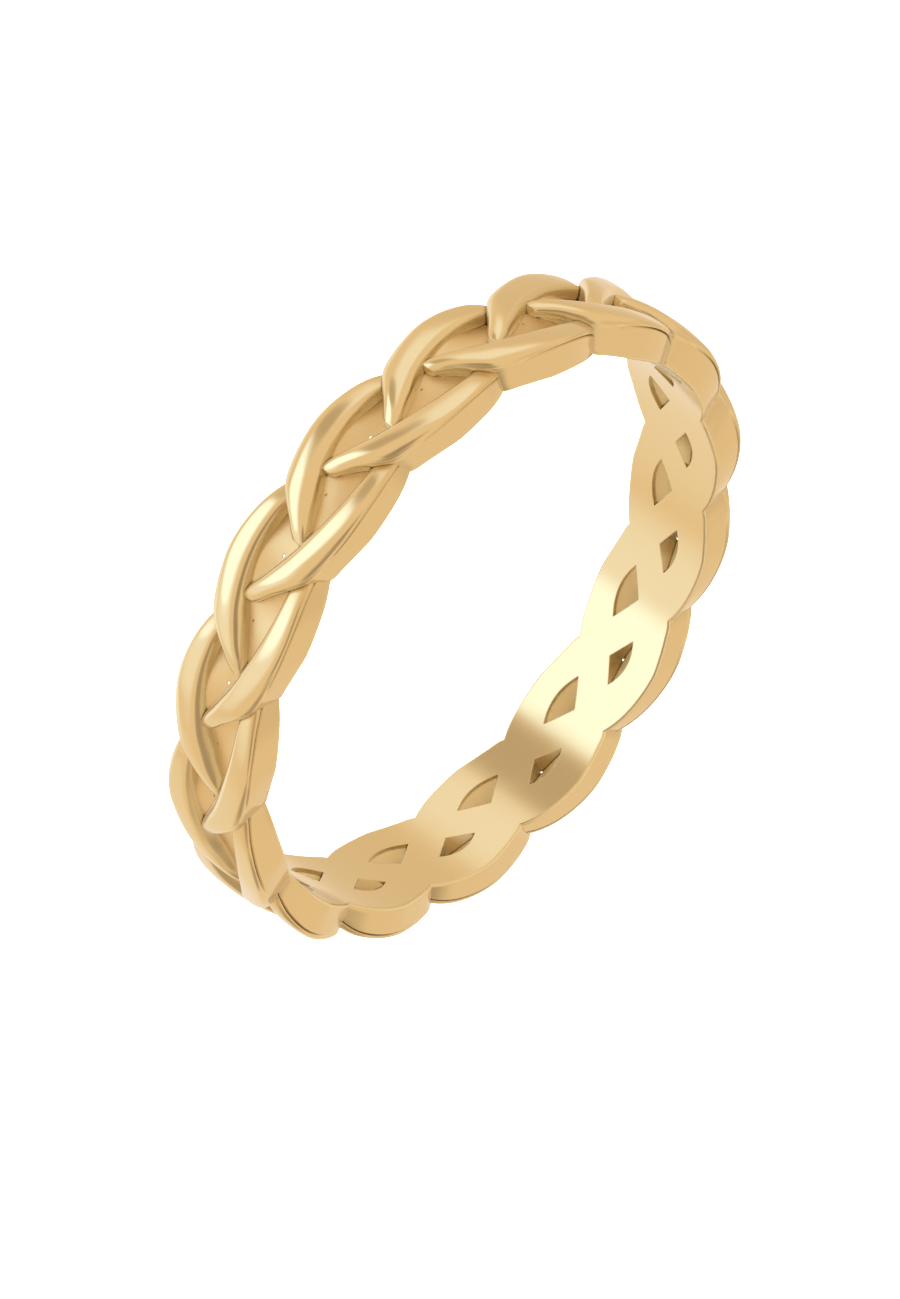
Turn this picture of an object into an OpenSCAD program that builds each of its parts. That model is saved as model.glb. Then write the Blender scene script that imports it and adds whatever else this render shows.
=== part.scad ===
// Braided band ring: one cast piece, a flat plait of three strands all the way round.
// The ring lies on its side: its axis is +Z and the scalloped edge rests on z = 0.

/* [Ring] */
// Inner diameter, the finger size
inner_d = 17.2; // [15:0.1:22]
// Width of the band over its scallops
band_w = 3.15; // [2.6:0.05:4.5]
// Thickness of the band over the highest crests
band_t = 1.25; // [1:0.05:1.6]
// Bevel where the bore meets the edges of the band
bevel = 0.08; // [0.05:0.01:0.2]

/* [Plait] */
// Waves that each of the three strands makes round the ring
waves = 5; // [4:1:6]
// Height of the floor between the strands, above the bore
floor_t = 0.76; // [0.7:0.01:0.8]
// Rise of that floor, over half the band's width, to the side where a leaf is full
floor_rise = 0.35; // [0.1:0.05:0.4]

/* [Pockets] */
// Length of an upper pocket round the bore
upper_l = 1.4; // [1.2:0.05:1.6]
// Height of an upper pocket from its corner to the middle of its curved side
upper_h = 0.64; // [0.5:0.01:0.75]
// Length of a lower pocket round the bore
lower_l = 1.65; // [1.3:0.05:1.7]
// Height of a lower pocket from its corner to the middle of its curved side
lower_h = 0.74; // [0.6:0.01:0.8]
// Depth of a pocket at its curved side
pocket_shallow = 0.14; // [0.1:0.01:0.2]
// Depth of a pocket at its corner, where it comes out as a pinhole
pocket_deep = 0.8; // [0.75:0.01:0.85]

/* [Hidden] */

inner_r = inner_d / 2;
outer_d = inner_d + 2 * band_t;
half_w = band_w / 2;
strands = 3;
scallops = strands * waves;
pitch = 360 / scallops;
// The leaves, the floor and the pockets start this far inside the bore, which is cut last
sunk = 0.2;

// One leaf is the stretch of a strand that shows, from the notch where it comes out at one edge
// to the blunt tip at the middle of the band. A row is one section of it: its place in pitches
// from the notch; as shares of half the band's width its rim at the bore, the outer edge of its
// cord and the cord's inner foot; as shares of the band's thickness its crest and the shoulder
// where wall and cord meet; and how smoothly these two run together.
PLACE = 0;
RIM = 1;
EDGE = 2;
FOOT = 3;
CREST = 4;
SHOULDER = 5;
SMOOTH = 6;
LEAF = [
    [-0.13, 0.60, 0.56, 0.26, 0.50, 0.30, 0.0],
    [0.00, 0.77, 0.74, 0.36, 0.69, 0.50, 0.0],
    [0.12, 0.88, 0.84, 0.42, 0.81, 0.64, 0.0],
    [0.25, 0.95, 0.91, 0.43, 0.87, 0.72, 0.0],
    [0.40, 0.99, 0.95, 0.41, 0.92, 0.77, 0.1],
    [0.55, 1.00, 0.95, 0.35, 0.96, 0.78, 0.3],
    [0.70, 0.94, 0.90, 0.26, 0.98, 0.76, 0.6],
    [0.85, 0.86, 0.82, 0.13, 1.00, 0.74, 1.0],
    [0.98, 0.77, 0.70, -0.03, 1.00, 0.72, 1.0],
    [1.08, 0.56, 0.48, -0.15, 0.98, 0.70, 1.0],
    [1.16, 0.32, 0.26, -0.26, 0.94, 0.68, 0.7],
    [1.24, 0.11, 0.08, -0.34, 0.87, 0.64, 0.4],
    [1.29, 0.00, -0.03, -0.38, 0.77, 0.56, 0.3],
    [1.32, -0.10, -0.12, -0.37, 0.48, 0.30, 0.3]
];
// Lean of a section towards the tip, in pitches, from the bore to the highest crest
lean = 0.12;
// How square the cord is outside its crest, how much less where it runs smoothly into the wall,
// and the power that squares its inner flank
square = 0.85;
rounder = 0.25;
flank = 0.5;
dome_steps = 3;
// How far the floor reaches, as a share of half the band's width, and the place where it is highest
web_share = 0.67;
full_place = 0.7;
web_columns = 6 * scallops;
web_rows = 4;
pocket_steps = 5;
// Turns, in columns, that keep the seams of the floor and the bore off those of the leaves
web_turn = 0.15;
bore_turn = 0.55;

// Point in space from an angle round the ring, a radius and a height above the middle of the band
function on_ring(angle, r, z) = [r * cos(angle), r * sin(angle), z];

// The same from a place in pitches, leaning on towards the tip further out
function leaning(u, r, z) = on_ring((u + lean * (r - inner_r) / band_t) * pitch, r, z);

// Point at s, from 0 to 1, on a curve pulled by four points
function bent(a, b, c, d, s) =
    pow(1 - s, 3) * a + 3 * s * pow(1 - s, 2) * b + 3 * s * s * (1 - s) * c + pow(s, 3) * d;

// Section of a leaf: the wall at the band's edge, the cord's outer half, then its inner flank
function leaf_section(row) =
    let (
        u = row[PLACE],
        outer = half_w * row[RIM],
        edge = half_w * row[EDGE],
        inner = half_w * row[FOOT],
        crest = inner_r + band_t * row[CREST],
        shoulder = inner_r + band_t * row[SHOULDER],
        round = bevel * (1 + row[SMOOTH] / 2),
        rim = inner_r + round,
        middle = (edge + inner) / 2,
        pull = square - rounder * row[SMOOTH]
    )
    concat(
        [leaning(u, inner_r - sunk, outer - round - sunk)],
        [leaning(u, rim, outer)],
        [for (k = [0 : dome_steps])
            let (p = bent([shoulder, edge], [shoulder + pull * (crest - shoulder), edge],
                [crest, middle + pull * (edge - middle)], [crest, middle], k / dome_steps))
            leaning(u, p[0], p[1])],
        [for (k = [1 : dome_steps])
            let (a = 90 * k / dome_steps)
            leaning(u, inner_r + (crest - inner_r) * pow(cos(a), flank),
                middle - (middle - inner) * pow(sin(a), flank))],
        [leaning(u, inner_r - sunk, min(inner, outer - round - 2 * sunk))]
    );

// Faces of a solid lofted through rings of n points each
function loft_faces(rings, n) = concat(
    [for (i = [0 : rings - 2], j = [0 : n - 1]) [i * n + j, (i + 1) * n + j, i * n + (j + 1) % n]],
    [for (i = [0 : rings - 2], j = [0 : n - 1])
        [(i + 1) * n + j, (i + 1) * n + (j + 1) % n, i * n + (j + 1) % n]],
    [[for (j = [0 : n - 1]) j]],
    [[for (j = [n - 1 : -1 : 0]) (rings - 1) * n + j]]
);

module leaf() {
    points = [for (row = LEAF) each leaf_section(row)];
    polyhedron(points, loft_faces(len(LEAF), 2 * dome_steps + 4));
}

// Floor between the strands: a band inside the leaves that leans to and fro, high beside the full
// part of a leaf and low where a leaf begins
function web_r(angle, z) =
    inner_r + floor_t + floor_rise * z / half_w * cos((angle / pitch - full_place) * 360);

module web() {
    edge = half_w * web_share;
    n = web_rows + 2;
    points = [for (i = [0 : web_columns - 1])
        let (angle = 360 * (i + web_turn) / web_columns)
        each concat(
            [on_ring(angle, inner_r - sunk, edge)],
            [for (k = [0 : web_rows - 1])
                let (z = edge * (1 - 2 * k / (web_rows - 1)))
                on_ring(angle, web_r(angle, z), z)],
            [on_ring(angle, inner_r - sunk, -edge)]
        )];
    faces = [for (i = [0 : web_columns - 1], j = [0 : n - 1])
        let (next = (i + 1) % web_columns)
        each [
            [i * n + j, next * n + j, i * n + (j + 1) % n],
            [next * n + j, next * n + (j + 1) % n, i * n + (j + 1) % n]
        ]];
    polyhedron(points, faces);
}

// Pocket in the bore behind the floor: a fan, deepest at its corner on the middle of the band
module pocket(length, height) {
    foot = inner_r - sunk;
    reach = length / 2 / inner_r * 180 / PI;
    side = [for (k = [0 : pocket_steps])
        let (a = reach * (2 * k / pocket_steps - 1))
        [a, height * (1 - 0.32 * pow(a / reach, 2))]];
    low = [on_ring(0, foot, 0), for (p = side) on_ring(p[0], foot, p[1])];
    high = [on_ring(0, inner_r + pocket_deep, 0),
        for (p = side) on_ring(p[0], inner_r + pocket_shallow, p[1])];
    polyhedron(concat(high, low), loft_faces(2, pocket_steps + 2));
}

// Puts a shape of one pitch at the upper edge of the band, all the way round
module upper_row(shift) {
    for (i = [0 : scallops - 1]) rotate([0, 0, (i + shift) * pitch]) children();
}

// The same at the lower edge, turned over and half a pitch on
module lower_row(shift) {
    rotate([0, 0, pitch / 2]) mirror([0, 0, 1]) upper_row(shift) children();
}

// The plait as cast, with a bore that is still a little too small
module plait() {
    resize([outer_d, 0, band_w])
    difference() {
        union() {
            web();
            upper_row(0) leaf();
            lower_row(0) leaf();
        }
        upper_row(0.5) pocket(upper_l, upper_h);
        lower_row(0.5) pocket(lower_l, lower_h);
        rotate([0, 0, 360 * bore_turn / web_columns])
        cylinder(h = 2 * band_w, r = inner_r - sunk / 4, center = true, $fn = web_columns);
    }
}

module braided_band() {
    color([0.89, 0.75, 0.51])
    translate([0, 0, half_w])
    difference() {
        plait();
        cylinder(h = 2 * band_w, r = inner_r, center = true, $fn = 180);
    }
}

braided_band();
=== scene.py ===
"""Looks of the braided band ring: the same plait as the CAD model, cut finely, in polished gold."""

import math

import bmesh
import bpy
import numpy as np
from mathutils import Matrix, Vector


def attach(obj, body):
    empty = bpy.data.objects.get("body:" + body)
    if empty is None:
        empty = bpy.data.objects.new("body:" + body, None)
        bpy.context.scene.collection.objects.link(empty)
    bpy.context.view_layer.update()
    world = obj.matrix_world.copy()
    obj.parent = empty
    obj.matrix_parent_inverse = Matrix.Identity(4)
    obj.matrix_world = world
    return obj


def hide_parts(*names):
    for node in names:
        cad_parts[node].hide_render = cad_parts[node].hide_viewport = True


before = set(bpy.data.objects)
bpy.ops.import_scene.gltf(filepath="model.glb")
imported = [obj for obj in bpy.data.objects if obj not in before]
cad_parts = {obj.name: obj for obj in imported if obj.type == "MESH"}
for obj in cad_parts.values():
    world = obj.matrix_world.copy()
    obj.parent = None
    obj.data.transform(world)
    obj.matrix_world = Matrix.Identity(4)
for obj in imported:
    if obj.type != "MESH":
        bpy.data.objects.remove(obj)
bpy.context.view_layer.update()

MM = 0.001

# Sizes of the ring in millimetres, as in the CAD model
INNER_D = 17.2
BAND_W = 3.15
BAND_T = 1.25
FLOOR_T = 0.76
FLOOR_RISE = 0.35
FULL_PLACE = 0.7
UPPER_POCKET = (1.4, 0.64)
LOWER_POCKET = (1.65, 0.74)
POCKET_SHALLOW = 0.14
POCKET_DEEP = 0.8
EDGE_ROUND = 0.08
SCALLOPS = 15
# The leaves, the floor and the pockets start this far inside the bore, which is cut last
SUNK = 0.2

INNER_R = INNER_D / 2
HALF_W = BAND_W / 2
PITCH = 2 * math.pi / SCALLOPS

# One leaf of the plait: place in pitches from its notch, then shares of half the band's width for
# the rim, the outer edge of the cord and its inner foot, shares of the thickness for the crest
# and the shoulder where wall and cord meet, and how smoothly these two run together
LEAF = np.array([
    [-0.13, 0.60, 0.56, 0.26, 0.50, 0.30, 0.0],
    [0.00, 0.77, 0.74, 0.36, 0.69, 0.50, 0.0],
    [0.12, 0.88, 0.84, 0.42, 0.81, 0.64, 0.0],
    [0.25, 0.95, 0.91, 0.43, 0.87, 0.72, 0.0],
    [0.40, 0.99, 0.95, 0.41, 0.92, 0.77, 0.1],
    [0.55, 1.00, 0.95, 0.35, 0.96, 0.78, 0.3],
    [0.70, 0.94, 0.90, 0.26, 0.98, 0.76, 0.6],
    [0.85, 0.86, 0.82, 0.13, 1.00, 0.74, 1.0],
    [0.98, 0.77, 0.70, -0.03, 1.00, 0.72, 1.0],
    [1.08, 0.56, 0.48, -0.15, 0.98, 0.70, 1.0],
    [1.16, 0.32, 0.26, -0.26, 0.94, 0.68, 0.7],
    [1.24, 0.11, 0.08, -0.34, 0.87, 0.64, 0.4],
    [1.29, 0.00, -0.03, -0.38, 0.77, 0.56, 0.3],
    [1.32, -0.10, -0.12, -0.37, 0.48, 0.30, 0.3],
])
# What the smooth curve may reach, a hair inside the band's width and thickness
HIGHEST = 0.9995
# Share of its height that a crest keeps, as its smooth curve bulges past the part's straight steps
CREST_KEPT = 0.9972
# Lean of a section towards the tip, in pitches, from the bore to the highest crest
LEAN = 0.12
# How square the cord is outside its crest, how much less where it runs smoothly into the wall,
# and the power that squares its inner flank
SQUARE = 0.85
ROUNDER = 0.25
FLANK = 0.5
# How finely a leaf is cut: along it, then across each half of its cord, its rim and its wall
LEAF_STEPS = 64
DOME_STEPS = 12
ROUND_STEPS = 4
WALL_STEPS = 6
# The fine groove between wall and cord, where these don't run together
GROOVE_DEPTH = 0.07
GROOVE_W = 0.08
# How far the floor reaches, as a share of half the band's width, and how finely it is cut
WEB_EDGE = 0.67
WEB_COLUMNS = 32 * SCALLOPS
WEB_ROWS = 17
# How far the curved side of a pocket falls towards its ends, as a share of the pocket's height
POCKET_CURVE = 0.32
POCKET_STEPS = 24
BORE_SIDES = 720
# Leaves that are joined in one go are this many pitches apart, so that they don't touch
LEAF_STRIDE = 3
# Points of the finished mesh closer together than this become one
TINY = 0.0002
# Edges sharper than this aren't shaded smooth
SHARP_ANGLE = math.radians(28)


def table_at(u):
    """The leaf's columns at place u, on a smooth curve through the table's rows."""
    x = LEAF[:, 0]
    i = int(np.clip(np.searchsorted(x, u, side="right"), 1, len(x) - 1))

    def slope(k):
        a, b = max(k - 1, 0), min(k + 1, len(x) - 1)
        return (LEAF[b] - LEAF[a]) / (x[b] - x[a])

    w = x[i] - x[i - 1]
    s = (u - x[i - 1]) / w
    q = 1 - s
    row = q * q * (1 + 2 * s) * LEAF[i - 1] + s * s * (1 + 2 * q) * LEAF[i]
    return row + w * s * q * (q * slope(i - 1) - s * slope(i))


def on_ring(angle, r, z):
    """Point in space from an angle round the ring, a radius and a height above its middle."""
    return (r * math.cos(angle), r * math.sin(angle), z)


def leaf_section(u):
    """Radius and height of the points round one section, from the bore round to the inner foot."""
    _, outer, edge, inner, crest, shoulder, smooth = table_at(u)
    outer, crest = min(outer, HIGHEST), CREST_KEPT * min(crest, HIGHEST)
    outer, edge, inner = outer * HALF_W, edge * HALF_W, inner * HALF_W
    crest, shoulder = INNER_R + BAND_T * crest, INNER_R + BAND_T * shoulder
    rim = INNER_R + EDGE_ROUND
    middle = (edge + inner) / 2
    points = [(INNER_R - SUNK, outer - EDGE_ROUND - SUNK)]
    for k in range(1, ROUND_STEPS + 1):
        a = math.radians(90) * k / ROUND_STEPS
        points.append((INNER_R + EDGE_ROUND * (1 - math.cos(a)), outer - EDGE_ROUND * (1 - math.sin(a))))
    for k in range(1, WALL_STEPS):
        s = k / WALL_STEPS
        points.append((rim + (shoulder - rim) * s, outer + (edge - outer) * s))
    points.append((shoulder - GROOVE_W / 2, edge))
    # The outer half of the cord is a curve from the wall to the crest, the inner half an ellipse
    pull = SQUARE - ROUNDER * smooth
    bend = ((shoulder, edge), (shoulder + pull * (crest - shoulder), edge),
            (crest, middle + pull * (edge - middle)), (crest, middle))
    for k in range(DOME_STEPS + 1):
        s = k / DOME_STEPS
        share = ((1 - s) ** 3, 3 * s * (1 - s) ** 2, 3 * s * s * (1 - s), s ** 3)
        r, z = (sum(w * p[c] for w, p in zip(share, bend)) for c in (0, 1))
        points.append((r, z - GROOVE_DEPTH * (1 - smooth) if k == 0 else z))
    for k in range(1, DOME_STEPS + 1):
        a = math.radians(90) * k / DOME_STEPS
        rise, run = math.cos(a) ** FLANK, math.sin(a) ** FLANK
        points.append((INNER_R + (crest - INNER_R) * rise, middle - (middle - inner) * run))
    points.append((INNER_R - SUNK, min(inner, outer - EDGE_ROUND - 2 * SUNK)))
    return points


def loft(rings, closed=False):
    """Vertices and faces of a solid through rings of points, capped at its ends unless closed."""
    n, m = len(rings[0]), len(rings)
    verts = [p for ring in rings for p in ring]
    faces = []
    for i in range(m if closed else m - 1):
        a, b = i * n, (i + 1) % m * n
        faces += [(a + j, b + j, b + (j + 1) % n, a + (j + 1) % n) for j in range(n)]
    if not closed:
        faces += [tuple(range(n)), tuple(range((m - 1) * n, m * n))[::-1]]
    return verts, faces


def leaning(u, r, z):
    """A point at place u; what lies further out leans on towards the tip."""
    return on_ring((u + LEAN * (r - INNER_R) / BAND_T) * PITCH, r, z)


def leaf_rings():
    """The sections of one leaf, from its notch to its tip."""
    first, last = LEAF[0, 0], LEAF[-1, 0]
    places = [first + (last - first) * i / LEAF_STEPS for i in range(LEAF_STEPS + 1)]
    return [[leaning(u, r, z) for r, z in leaf_section(u)] for u in places]


def web_r(angle, z):
    """Radius of the floor, high beside the full part of a leaf and low where a leaf begins."""
    lean = math.cos(angle * SCALLOPS - 2 * math.pi * FULL_PLACE)
    return INNER_R + FLOOR_T + FLOOR_RISE * z / HALF_W * lean


def web_rings():
    """The sections of the floor between the strands, all the way round."""
    edge = HALF_W * WEB_EDGE
    rings = []
    for i in range(WEB_COLUMNS):
        angle = 2 * math.pi * i / WEB_COLUMNS
        heights = [edge * (1 - 2 * k / (WEB_ROWS - 1)) for k in range(WEB_ROWS)]
        rings.append(
            [on_ring(angle, INNER_R - SUNK, edge)]
            + [on_ring(angle, web_r(angle, z), z) for z in heights]
            + [on_ring(angle, INNER_R - SUNK, -edge)]
        )
    return rings


def pocket_rings(length, height):
    """A fan-shaped pocket in the bore, deepest at its corner on the middle of the band."""
    reach = length / 2 / INNER_R
    side = []
    for k in range(POCKET_STEPS + 1):
        s = 2 * k / POCKET_STEPS - 1
        side.append((reach * s, height * (1 - POCKET_CURVE * s * s)))
    foot = INNER_R - SUNK
    low = [on_ring(0, foot, 0)] + [on_ring(a, foot, z) for a, z in side]
    high = [on_ring(0, INNER_R + POCKET_DEEP, 0)]
    high += [on_ring(a, INNER_R + POCKET_SHALLOW, z) for a, z in side]
    return [high, low]


def solid(name, parts):
    """One mesh object, in metres, of closed parts given in millimetres from the band's middle."""
    verts, faces = [], []
    for v, f in parts:
        faces += [tuple(i + len(verts) for i in face) for face in f]
        verts += [(x * MM, y * MM, (z + HALF_W) * MM) for x, y, z in v]
    mesh = bpy.data.meshes.new(name)
    mesh.from_pydata(verts, [], faces)
    work = bmesh.new()
    work.from_mesh(mesh)
    bmesh.ops.recalc_face_normals(work, faces=work.faces)
    bmesh.ops.triangulate(work, faces=work.faces)
    work.to_mesh(mesh)
    work.free()
    piece = bpy.data.objects.new(name, mesh)
    bpy.context.scene.collection.objects.link(piece)
    return piece


def turned(part, angle, over):
    """A part turned round the ring, after it is turned over to the lower edge if asked."""
    verts, faces = part
    if over:
        angle += PITCH / 2
        faces = [f[::-1] for f in faces]
    c, s = math.cos(angle), math.sin(angle)
    return [(c * x - s * y, s * x + c * y, -z if over else z) for x, y, z in verts], faces


def combine(piece, tool, operation):
    """Joins the tool to the piece, or cuts it away, and removes the tool."""
    change = piece.modifiers.new(operation, "BOOLEAN")
    change.operation = operation
    change.solver = "MANIFOLD"
    change.object = tool
    view = bpy.context.evaluated_depsgraph_get()
    mesh = bpy.data.meshes.new_from_object(piece.evaluated_get(view))
    piece.modifiers.clear()
    old, piece.data = piece.data, mesh
    bpy.data.meshes.remove(old)
    bpy.data.objects.remove(tool)


def clean(piece):
    """Takes out the faces without area that the cuts leave behind, and what hangs on them alone."""
    mesh = bmesh.new()
    mesh.from_mesh(piece.data)
    bmesh.ops.remove_doubles(mesh, verts=mesh.verts, dist=TINY * MM)
    bmesh.ops.dissolve_degenerate(mesh, edges=mesh.edges, dist=TINY * MM)
    bmesh.ops.triangulate(mesh, faces=mesh.faces)
    bmesh.ops.delete(mesh, geom=[v for v in mesh.verts if not v.link_faces], context="VERTS")
    print("open edges", sum(len(e.link_faces) != 2 for e in mesh.edges), "faces", len(mesh.faces))
    mesh.to_mesh(piece.data)
    mesh.free()


# The plait
leaf = loft(leaf_rings())
band = solid("braid", [loft(web_rings(), closed=True)])
for over in (False, True):
    for start in range(LEAF_STRIDE):
        row = [turned(leaf, k * PITCH, over) for k in range(start, SCALLOPS, LEAF_STRIDE)]
        combine(band, solid("leaves", row), "UNION")
pockets = []
for k in range(SCALLOPS):
    angle = (k + 0.5) * PITCH
    pockets.append(turned(loft(pocket_rings(*UPPER_POCKET)), angle, False))
    pockets.append(turned(loft(pocket_rings(*LOWER_POCKET)), angle, True))
combine(band, solid("pockets", pockets), "DIFFERENCE")
circle = [2 * math.pi * k / BORE_SIDES for k in range(BORE_SIDES)]
bore = loft([[on_ring(a, INNER_R, z) for a in circle] for z in (-BAND_W, BAND_W)])
combine(band, solid("bore", [bore]), "DIFFERENCE")
clean(band)
print("braid", len(band.data.vertices), "vertices", len(band.data.polygons), "faces")

band.data.shade_smooth()
band.data.set_sharp_from_angle(angle=SHARP_ANGLE)


# Gold: on the crests and in the bore, then painted reflection colours for where it and a pocket show in
# the ring's own reflections, the pocket's brighter as painted light
GOLD = (0.775, 0.515, 0.223, 1)
GOLD_PAINTED_REFLECTION = (0.86, 0.77, 0.60, 1)
POCKET_PAINTED_LIGHT_IN_GOLD = (1.0, 0.94, 0.82, 1)
# The recesses: painted shade on the walls and the floor between the strands, painted light in the
# pockets, and painted shade in narrow creases
RECESS_PAINTED_SHADE = (0.75, 0.495, 0.212, 1)
FLOOR_PAINTED_SHADE = (0.765, 0.47, 0.182, 1)
POCKET_PAINTED_LIGHT = (1.0, 0.80, 0.45, 1)
CREASE_PAINTED_SHADE = (0.10, 0.05, 0.014, 1)
# Tint of a grazing reflection outside the creases
GOLD_EDGE = (1.0, 0.95, 0.85, 1)
# Roughness, from the polished parts to the pockets, and how much a slight cloud changes the first
POLISH = 0.13
CLOUD_POLISH = 0.03
CLOUD_SCALE = 900
CLOUD_DETAIL = 3
CLOUD_RANGE = (0.3, 0.7)
SATIN = 0.42
SATIN_IN_POCKET = 0.85
POLISH_IN_GOLD = 0.55
# Width of a crease in millimetres that takes painted shade, and how open a place is where the painted
# shade ends and the gold begins
CREASE = 0.09
CREASE_OPEN = (0.25, 0.7)
CREASE_SAMPLES = 8
# How straight a face looks out, or in, where the satin and painted shade of the floor, or the satin and
# painted light of a pocket, begin and end
LOOKS_OUT = (0.3, 0.7)
LOOKS_IN = (-0.1, -0.3)
# Radius in millimetres by which shading rounds the edges
SOFT_EDGE = 0.04
SOFT_EDGE_SAMPLES = 4
# Radii in millimetres between which the gold goes from bright to satin and takes painted shade, in the
# bore and outside
BORE_SATIN = (8.62, 8.66)
CREST_SATIN = (9.68, 9.45)
# Sockets of a Mix node: its factor, then its numbers, its colours, and the output of each
MIX_FACTOR = 0
MIX_NUMBERS = (2, 3)
MIX_COLOURS = (6, 7)
NUMBER_OUT = 0
COLOUR_OUT = 2


def mixed(tree, factor, first, second):
    """Colour mix of two values or sockets by a factor socket."""
    mix = tree.nodes.new("ShaderNodeMix")
    mix.data_type = "RGBA"
    tree.links.new(factor, mix.inputs[MIX_FACTOR])
    for slot, value in zip(MIX_COLOURS, (first, second)):
        if isinstance(value, tuple):
            mix.inputs[slot].default_value = value
        else:
            tree.links.new(value, mix.inputs[slot])
    return mix.outputs[COLOUR_OUT]


def blend(tree, factor, first, second):
    """The first value socket, going over to the second number as the factor socket rises to 1."""
    mix = tree.nodes.new("ShaderNodeMix")
    tree.links.new(factor, mix.inputs[MIX_FACTOR])
    tree.links.new(first, mix.inputs[MIX_NUMBERS[0]])
    mix.inputs[MIX_NUMBERS[1]].default_value = second
    return mix.outputs[NUMBER_OUT]


def math_node(tree, operation, first, second):
    """A sum, product or the like of two value sockets."""
    node = tree.nodes.new("ShaderNodeMath")
    node.operation = operation
    tree.links.new(first, node.inputs[0])
    tree.links.new(second, node.inputs[1])
    return node.outputs[0]


def ramp(tree, value, low, high, start, end):
    """The value socket mapped from low..high to start..end."""
    node = tree.nodes.new("ShaderNodeMapRange")
    for name, number in (("From Min", low), ("From Max", high), ("To Min", start), ("To Max", end)):
        node.inputs[name].default_value = number
    tree.links.new(value, node.inputs["Value"])
    return node.outputs["Result"]


def facing(tree, place):
    """How much a face looks straight out from the ring's axis, from 1 through 0 to -1 inwards."""
    out = tree.nodes.new("ShaderNodeVectorMath")
    out.operation = "NORMALIZE"
    tree.links.new(place, out.inputs[0])
    dot = tree.nodes.new("ShaderNodeVectorMath")
    dot.operation = "DOT_PRODUCT"
    tree.links.new(out.outputs["Vector"], dot.inputs[0])
    tree.links.new(tree.nodes.new("ShaderNodeNewGeometry").outputs["True Normal"], dot.inputs[1])
    return dot.outputs["Value"]


def gold():
    """Polished gold, drawn paler and softer where it shows in itself as a painted reflection, with
    painted shade in its recesses and narrow creases and painted light in its pockets.
    """
    material = bpy.data.materials.new("polished_gold")
    material.use_nodes = True
    tree = material.node_tree
    shader = tree.nodes["Principled BSDF"]
    shader.inputs["Metallic"].default_value = 1.0
    light = tree.nodes.new("ShaderNodeLightPath").outputs["Is Glossy Ray"]

    noise = tree.nodes.new("ShaderNodeTexNoise")
    place = tree.nodes.new("ShaderNodeTexCoord")
    tree.links.new(place.outputs["Object"], noise.inputs["Vector"])
    noise.inputs["Scale"].default_value = CLOUD_SCALE
    noise.inputs["Detail"].default_value = CLOUD_DETAIL
    cloud = noise.outputs["Fac"]

    flat = tree.nodes.new("ShaderNodeVectorMath")
    flat.operation = "MULTIPLY"
    flat.inputs[1].default_value = (1, 1, 0)
    tree.links.new(place.outputs["Object"], flat.inputs[0])
    radius = tree.nodes.new("ShaderNodeVectorMath")
    radius.operation = "LENGTH"
    tree.links.new(flat.outputs["Vector"], radius.inputs[0])
    radius = radius.outputs["Value"]
    # The recessed zone between the bore and the crests: satin there, and painted shade on its colour
    recess_satin_and_shade = math_node(tree, "MULTIPLY", ramp(tree, radius, *(r * MM for r in BORE_SATIN), 0.0, 1.0),
                     ramp(tree, radius, *(r * MM for r in CREST_SATIN), 0.0, 1.0))

    # Ambient occlusion finds the narrow creases, which get painted shade
    crease = tree.nodes.new("ShaderNodeAmbientOcclusion")
    crease.samples = CREASE_SAMPLES
    crease.inputs["Distance"].default_value = CREASE * MM
    unshaded_share = ramp(tree, crease.outputs["AO"], *CREASE_OPEN, 0.0, 1.0)
    look = facing(tree, flat.outputs["Vector"])
    # Recessed faces that look out take the floor's satin and painted shade; those that look in take a
    # pocket's satin and painted light
    floor_satin_and_shade = math_node(tree, "MULTIPLY", recess_satin_and_shade, ramp(tree, look, *LOOKS_OUT, 0.0, 1.0))
    pocket_satin_and_light = math_node(tree, "MULTIPLY", recess_satin_and_shade, ramp(tree, look, *LOOKS_IN, 0.0, 1.0))
    # Painted shade darkens the recesses and the floor between the strands, and painted light brightens
    # the pockets
    base = mixed(tree, recess_satin_and_shade, GOLD, RECESS_PAINTED_SHADE)
    base = mixed(tree, floor_satin_and_shade, base, FLOOR_PAINTED_SHADE)
    base = mixed(tree, pocket_satin_and_light, base, POCKET_PAINTED_LIGHT)
    # Painted shade: narrow creases go dark brown, and so does the tint of their grazing reflections
    surface = mixed(tree, unshaded_share, CREASE_PAINTED_SHADE, base)
    tree.links.new(mixed(tree, unshaded_share, CREASE_PAINTED_SHADE, GOLD_EDGE), shader.inputs["Specular Tint"])
    # Painted reflection: where the ring shows in itself its gold is paler, and a pocket paler still as
    # painted light
    painted_reflection = mixed(tree, pocket_satin_and_light, GOLD_PAINTED_REFLECTION, POCKET_PAINTED_LIGHT_IN_GOLD)
    tree.links.new(mixed(tree, light, surface, painted_reflection), shader.inputs["Base Color"])

    rough = ramp(tree, cloud, *CLOUD_RANGE, POLISH - CLOUD_POLISH, POLISH + CLOUD_POLISH)
    rough = blend(tree, floor_satin_and_shade, rough, SATIN)
    rough = blend(tree, pocket_satin_and_light, rough, SATIN_IN_POCKET)
    rough = blend(tree, light, rough, POLISH_IN_GOLD)
    tree.links.new(rough, shader.inputs["Roughness"])

    bevel = tree.nodes.new("ShaderNodeBevel")
    bevel.samples = SOFT_EDGE_SAMPLES
    bevel.inputs["Radius"].default_value = SOFT_EDGE * MM
    tree.links.new(bevel.outputs["Normal"], shader.inputs["Normal"])
    return material


band.data.materials.clear()
band.data.materials.append(gold())
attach(band, "root")
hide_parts("braided_band")


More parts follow.
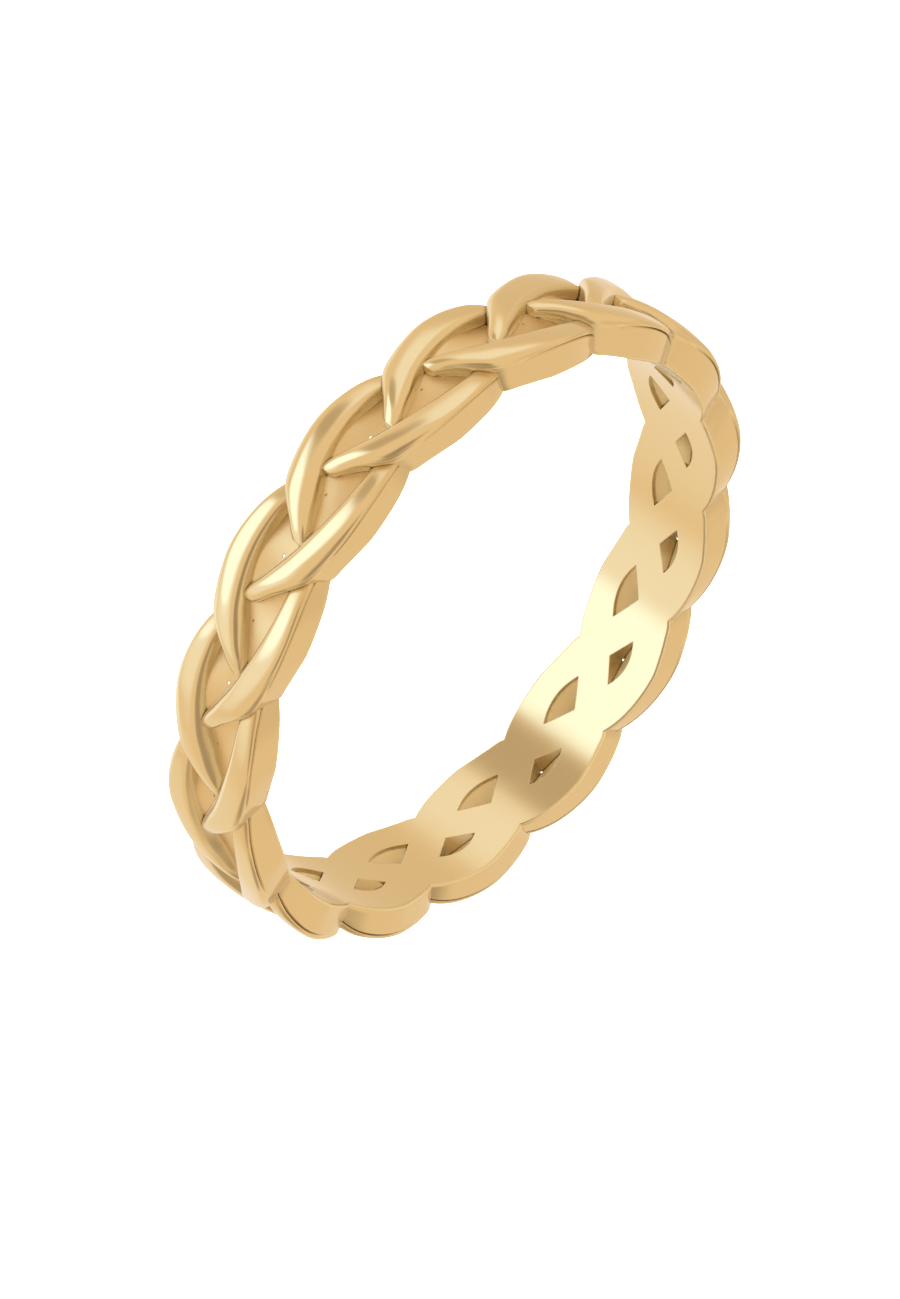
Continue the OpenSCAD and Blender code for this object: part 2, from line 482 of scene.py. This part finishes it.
# Floor, light and camera, in metres and watts. The floor lies a hair below the ring.
GROUND_SIZE = 3.0
GROUND_DROP = 0.00002
GROUND_COLOUR = (0.9, 0.9, 0.9, 1)
GROUND_ROUGH = 0.9
LAMP_HEIGHT = 1.0
LAMP_SIZE = 1.5
LAMP_WATTS = 40


def pale_floor():
    material = bpy.data.materials.new("floor")
    material.use_nodes = True
    shader = material.node_tree.nodes["Principled BSDF"]
    shader.inputs["Base Color"].default_value = GROUND_COLOUR
    shader.inputs["Roughness"].default_value = GROUND_ROUGH
    return material


bpy.ops.mesh.primitive_plane_add(size=GROUND_SIZE, location=(0, 0, -GROUND_DROP))
floor = bpy.context.object
floor.name = "floor"
floor.data.materials.append(pale_floor())
floor.visible_glossy = False


def glow(tree, azimuth, elevation, inner, outer):
    """How much a direction lies in a round soft patch of the studio, from 0 outside to 1 inside."""
    a, e = math.radians(azimuth), math.radians(elevation)
    place = tree.nodes.new("ShaderNodeTexCoord")
    dot = tree.nodes.new("ShaderNodeVectorMath")
    dot.operation = "DOT_PRODUCT"
    dot.inputs[1].default_value = (math.cos(e) * math.cos(a), math.cos(e) * math.sin(a), math.sin(e))
    tree.links.new(place.outputs["Generated"], dot.inputs[0])
    fade = tree.nodes.new("ShaderNodeMapRange")
    fade.interpolation_type = "SMOOTHSTEP"
    fade.inputs["From Min"].default_value = math.cos(math.radians(outer))
    fade.inputs["From Max"].default_value = math.cos(math.radians(inner))
    tree.links.new(dot.outputs["Value"], fade.inputs["Value"])
    return fade.outputs["Result"]


# How much of a patch's extra brightness its red, green and blue get
COOLER = (0.18, 0.45, 0.95)
# Patches of the studio, in degrees: azimuth and elevation of the middle, how far from it the patch
# begins to fade and where it ends; then its brightness beside a base of 1
PATCHES = [
    (24, -14, 12, 28, 1.8),
    (-150, -28, 14, 40, 1.3),
    (130, -32, 10, 34, 1.8),
    (84, -36, 10, 18, 3.2),
    (98, -36, 11, 20, 3.2),
    (112, -36, 10, 18, 3.2),
    (54, -30, 5, 15, 0.66),
    (90, 44, 8, 26, 0.45),
    (146, 58, 8, 32, 0.5),
    (-148, 30, 10, 30, 0.55),
    (-50, 18, 8, 26, 0.86),
    (-50, 62, 8, 24, 0.9),
    (-30, -26, 15, 36, 0.9),
    (-165, -64, 10, 26, 2.2),
    (-90, -80, 15, 35, 1.7),
]


def studio_colour(value):
    """What is darker than the base stays grey; what is brighter grows cooler, which pales the gold."""
    if value < 1:
        return (value, value, value, 1)
    return tuple(1 + (value - 1) * share for share in COOLER) + (1,)


def studio():
    """The light round the ring: a white base with the patches laid over it in their order."""
    world = bpy.data.worlds.new("studio")
    world.use_nodes = True
    tree = world.node_tree
    level = (1, 1, 1, 1)
    for azimuth, elevation, inner, outer, value in PATCHES:
        level = mixed(tree, glow(tree, azimuth, elevation, inner, outer), level, studio_colour(value))
    tree.links.new(level, tree.nodes["Background"].inputs["Color"])
    return world


bpy.context.scene.world = studio()


def floor_light(height, size, watts):
    """A wide soft light straight above that brightens the floor and doesn't show in the gold."""
    data = bpy.data.lights.new("floor_light", "AREA")
    data.size = size
    data.energy = watts
    data.use_shadow = False
    lamp = bpy.data.objects.new("floor_light", data)
    bpy.context.scene.collection.objects.link(lamp)
    lamp.location = (0, 0, height)
    lamp.visible_glossy = False


floor_light(LAMP_HEIGHT, LAMP_SIZE, LAMP_WATTS)

# The camera looks at the ring from 30 degrees above its plane, rolled as the photograph is.
# Its distance and nearest view are in metres, the lens and the sensor in millimetres.
AZIMUTH = math.radians(86.882)
ELEVATION = math.radians(29.697)
ROLL = math.radians(124.614)
DISTANCE = 0.30382
TARGET = Vector((-1.0404, -0.1619, 1.9576)) * MM
LENS = 308.76
SENSOR = 36
NEAREST = 0.01

data = bpy.data.cameras.new("camera")
data.sensor_fit = "AUTO"
data.sensor_width = SENSOR
data.lens = LENS
data.clip_start = NEAREST
camera = bpy.data.objects.new("camera", data)
bpy.context.scene.collection.objects.link(camera)
back = Vector((
    math.cos(ELEVATION) * math.cos(AZIMUTH),
    math.cos(ELEVATION) * math.sin(AZIMUTH),
    math.sin(ELEVATION),
))
right = Vector((0, 0, 1)).cross(back).normalized()
upright = Matrix((right, back.cross(right), back)).transposed()
camera.matrix_world = (
    Matrix.Translation(TARGET + back * DISTANCE)
    @ (upright @ Matrix.Rotation(ROLL, 3, "Z")).to_4x4()
)
bpy.context.scene.camera = camera
bpy.context.scene.view_settings.view_transform = "Standard"

bpy.context.view_layer.update()
